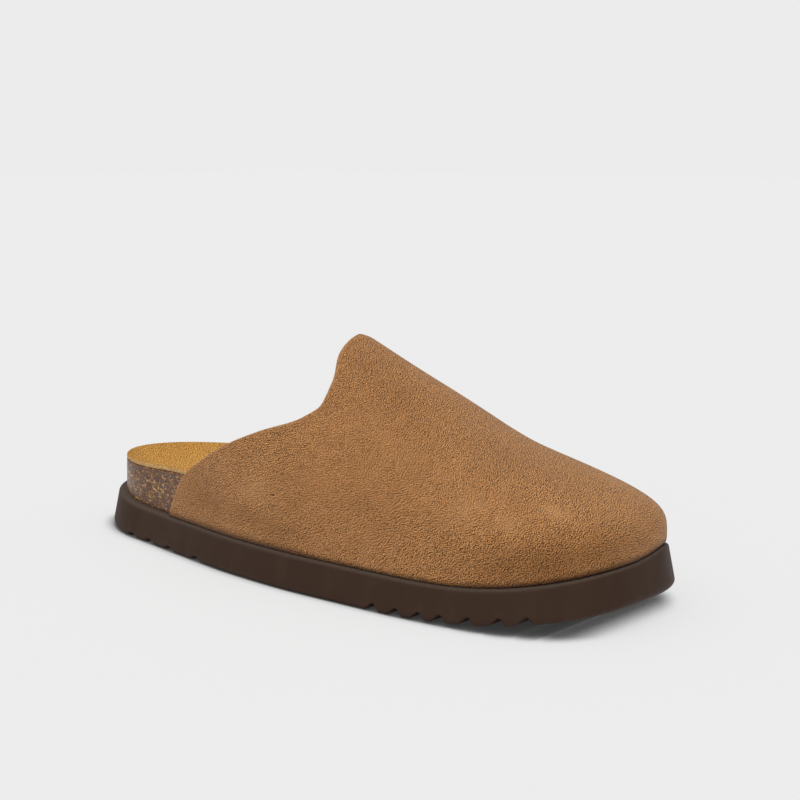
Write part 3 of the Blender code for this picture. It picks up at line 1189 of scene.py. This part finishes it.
    def point(self, column: int, row: int) -> Point:
        """Gives a point of the outside.

        Args:
            column: from the outer wing round the toe to the inner wing.
            row: from the lower edge up to the ridge.

        Returns:
            Station, distance aside and height.
        """
        girth = row / self.girth_rows
        spread = math.cos(girth * math.pi / 2)
        swell = 1.0 + self.side_swell * math.sin(math.pi * clamp(girth / self.swell_share)) ** 2
        last_side = self.side_columns + self.toe_columns
        if self.side_columns < column < last_side:
            turn = math.pi * (column - self.side_columns) / self.toe_columns
            side = Side.OUTER if turn <= math.pi / 2 else Side.INNER
            hub = self.toe_hub
            foot = hub + (self.outline.length - self.feather_inset - hub) * math.sin(turn)
        else:
            side = Side.OUTER if column <= self.side_columns else Side.INNER
            along = min(column, last_side + self.side_columns - column) / self.side_columns
            cut = self.cut_station(girth)
            hub = foot = cut + (self.toe_hub - cut) * along
        middle = self.offset(hub)
        ahead = (foot - hub) * spread
        aside = (self.feather(foot, side) - middle) * spread
        height = self.last_height(hub + ahead, middle + aside)
        return hub + ahead * swell, middle + aside * swell, height

    def collar_edge(self, bm: bmesh.types.BMesh) -> KDTree:
        """Collects the collar's cut edge, for finding how near to it a point lies.

        Args:
            bm: the outside, before it gets its wall.

        Returns:
            A search tree of the cut edge's vertices.
        """
        cut = []
        for vert in bm.verts:
            point = self.shoe_point(vert)
            high = point.z > self.outline.sole_thick + self.rim_above
            if vert.is_boundary and high and point.x < self.rim_front:
                cut.append(vert)
        tree = KDTree(len(cut))
        for i, vert in enumerate(cut):
            tree.insert(vert.co, i)
        tree.balance()
        return tree

    def work(self, bm: bmesh.types.BMesh) -> None:
        """Presses the touches into the outside, tucks in its lower edge and marks how the nap lies and where
        painted shade darkens it.

        Args:
            bm: the outside, before it gets its wall.
        """
        brushed, pressed, seam_shade = (bm.verts.layers.float.new(name) for name in ("brushed", "pressed", "seam_shade"))
        thickness = bm.verts.layers.deform.verify()
        bm.normal_update()
        collar = self.collar_edge(bm)
        for vert in bm.verts:
            point = self.shoe_point(vert)
            fringe = clamp(1.0 - collar.find(vert.co)[2] / (self.rim * MM))
            shares = [(touch, touch.share(point)) for touch in self.touches]
            tone = sum(touch.tone * share for touch, share in shares)
            lift = sum(touch.lift * share for touch, share in shares)
            above = point.z - self.outline.deck(point.x, point.y)
            low = clamp(1.0 - above / self.tuck_height) ** 2
            vert[brushed] = clamp(max(tone, 0.0) + self.rim_tone * fringe)
            # A tone below 0 darkens the nap: pressed nap in places, painted shade on the lower toe, ball
            # front, waist and wing.
            vert[pressed] = clamp(-tone)
            # Painted shade along the seam with the sole, fading with height above the deck.
            vert[seam_shade] = math.exp(-((above / self.seam_shade_reach(point.x)) ** 2))
            vert[thickness][0] = 1.0 - self.skive * low
            inwards = Vector((-vert.normal.x, -vert.normal.y, 0.0)) * self.tuck * low
            vert.co += (vert.normal * lift + inwards) * MM

    def thicken(self, piece: bpy.types.Object) -> None:
        """Gives the outside its wall, with rounded cut edges.

        Args:
            piece: the upper's object.
        """
        piece.vertex_groups.new(name="wall")
        wall = piece.modifiers.new("wall", "SOLIDIFY")
        wall.vertex_group = "wall"
        wall.thickness = self.thick * MM
        wall.offset = -1.0
        wall.use_even_offset = True
        wall.use_quality_normals = True
        wall.material_offset = 1
        wall.material_offset_rim = 2
        cut = piece.modifiers.new("cut edges", "BEVEL")
        cut.width = self.cut_round * MM
        cut.segments = self.cut_segments
        cut.limit_method = "ANGLE"
        cut.angle_limit = math.radians(self.cut_angle)

    def build(self) -> bpy.types.Object:
        """Builds the shell: its outside, the touches, its wall and its rounded cut edges.

        Returns:
            The upper's object.
        """
        bm = self.grid(2 * self.side_columns + self.toe_columns, self.girth_rows, self.point)
        self.work(bm)
        piece = self.finish(bm)
        self.thicken(piece)
        return piece

    def dress(self, piece: bpy.types.Object) -> None:
        """Gives the shell its nap, its flesh side and its cut edge."""
        for finish in (UPPER_NAP, UPPER_FLESH, CUT_EDGE):
            piece.data.materials.append(finish.material())


@dataclass
class Studio:
    """The pale floor, the soft light around it and the camera."""

    outline: Outline
    floor_size: float = 12000.0
    floor_colour: Colour = (0.21, 0.21, 0.21)
    backdrop: float = 0.838
    room_light: float = 0.27
    overhead_light: float = 0.92
    overhead_power: float = 2.0
    side_light: float = 0.98
    side_power: float = 4.0
    side_from: Point = (0.25, -0.48, 0.80)
    floor_glow: float = 0.634
    contact_shade: float = 0.03
    contact_reach: float = 9.0
    contact_from: Point = (0.30, -0.36, 0.88)
    contact_ends: Span = (0.52, 0.97)
    tooth_scale: float = 900.0
    tooth_depth: float = 0.05
    turn: float = 42.81
    lift: float = 11.96
    distance: float = 661.21
    lens: float = 70.754
    sensor: float = 36.0
    view_depth: float = 50000.0
    centre: Point = (142.0, 0.0, 40.0)
    aim_right: float = 20.09
    aim_up: float = 29.03

    def floor(self) -> None:
        """Lays the floor, a wide matt sheet that glows as if lit from below, with a painted contact shadow
        where something stands close over it.
        """
        bm = bmesh.new()
        bmesh.ops.create_grid(bm, x_segments=1, y_segments=1, size=0.5 * self.floor_size * MM)
        mesh = bpy.data.meshes.new("floor")
        bm.to_mesh(mesh)
        bm.free()
        sheet = bpy.data.objects.new("floor", mesh)
        bpy.context.scene.collection.objects.link(sheet)
        paper = bpy.data.materials.new("matt paper")
        paper.use_nodes = True
        weave = Weaver(paper.node_tree)
        tooth = weave.noise(weave.place(), self.tooth_scale, 2.0).outputs["Fac"]
        bump = weave.add("Bump", {"Height": tooth, "Strength": 0.05, "Distance": self.tooth_depth * MM})
        tilted = weave.add("CombineXYZ", dict(enumerate(self.contact_from))).outputs[0]
        reach = {"Distance": self.contact_reach * MM, "Normal": tilted}
        # Ambient occlusion dims the glow: a painted contact shadow.
        clear = weave.mask(weave.add("AmbientOcclusion", reach).outputs["AO"], self.contact_ends)
        glow = weave.blend(clear, (self.contact_shade,) * 3, (self.floor_glow,) * 3)
        weave.feed(paper.node_tree.nodes["Principled BSDF"], {
            "Base Color": (*self.floor_colour, 1.0),
            "Roughness": 0.95,
            "Specular IOR Level": 0.0,
            "Normal": bump.outputs["Normal"],
            "Emission Color": glow,
            "Emission Strength": 1.0,
        })
        mesh.materials.append(paper)

    def light(self) -> None:
        """Fills the room with even light, brighter overhead and from a broad source on the outer side."""
        world = bpy.data.worlds.new("studio")
        world.use_nodes = True
        bpy.context.scene.world = world
        weave = Weaver(world.node_tree)
        world.node_tree.nodes.clear()
        way = weave.add("TexCoord").outputs["Generated"]
        sky = self.room_light
        for source, spread, strength in (
            (Vector((0.0, 0.0, 1.0)), self.overhead_power, self.overhead_light),
            (Vector(self.side_from).normalized(), self.side_power, self.side_light),
        ):
            facing = weave.add("VectorMath", {0: way, 1: source}, operation="DOT_PRODUCT").outputs["Value"]
            lobe = weave.math("POWER", weave.math("MAXIMUM", facing, 0.0), spread)
            sky = weave.math("ADD", sky, weave.math("MULTIPLY", lobe, strength))
        room = weave.add("Background", {"Color": sky, "Strength": 1.0}).outputs[0]
        seen = weave.add("Background", {"Color": (self.backdrop,) * 3 + (1.0,), "Strength": 1.0}).outputs[0]
        camera_ray = weave.add("LightPath").outputs["Is Camera Ray"]
        mixed = weave.add("MixShader", {0: camera_ray, 1: room, 2: seen}).outputs[0]
        weave.add("OutputWorld", {"Surface": mixed})

    def camera(self) -> None:
        """Sets the camera at the photograph's viewing angle."""
        turn, lift = math.radians(self.turn), math.radians(self.lift)
        back = Vector((math.sin(turn) * math.cos(lift), -math.cos(turn) * math.cos(lift), math.sin(lift)))
        right = Vector((math.cos(turn), math.sin(turn), 0.0))
        up = back.cross(right)
        middle = Vector(self.centre) + self.outline.shift
        eye = middle + back * self.distance
        aim = middle + right * self.aim_right + up * self.aim_up
        lens = bpy.data.cameras.new("camera")
        lens.lens = self.lens
        lens.sensor_width = self.sensor
        lens.clip_end = self.view_depth * MM
        camera = bpy.data.objects.new("camera", lens)
        camera.location = eye * MM
        camera.rotation_euler = (aim - eye).to_track_quat("-Z", "Y").to_euler()
        bpy.context.scene.collection.objects.link(camera)
        bpy.context.scene.camera = camera

    def make(self) -> None:
        """Sets up the whole studio."""
        self.floor()
        self.light()
        self.camera()
        bpy.context.scene.view_settings.view_transform = "Standard"
        LOG.info("studio is lit")


def main() -> None:
    """Builds and dresses the clog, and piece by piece."""
    logging.basicConfig(level=logging.INFO, format="%(name)s: %(message)s")
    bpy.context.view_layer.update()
    SharedEffects().build()
    outline = Outline()
    bed = Footbed(outline)
    Outsole(outline).make()
    bed.make()
    Insole(outline, bed=bed).make()
    Upper(outline).make()
    Studio(outline).make()


if __name__ == "__main__":
    main()
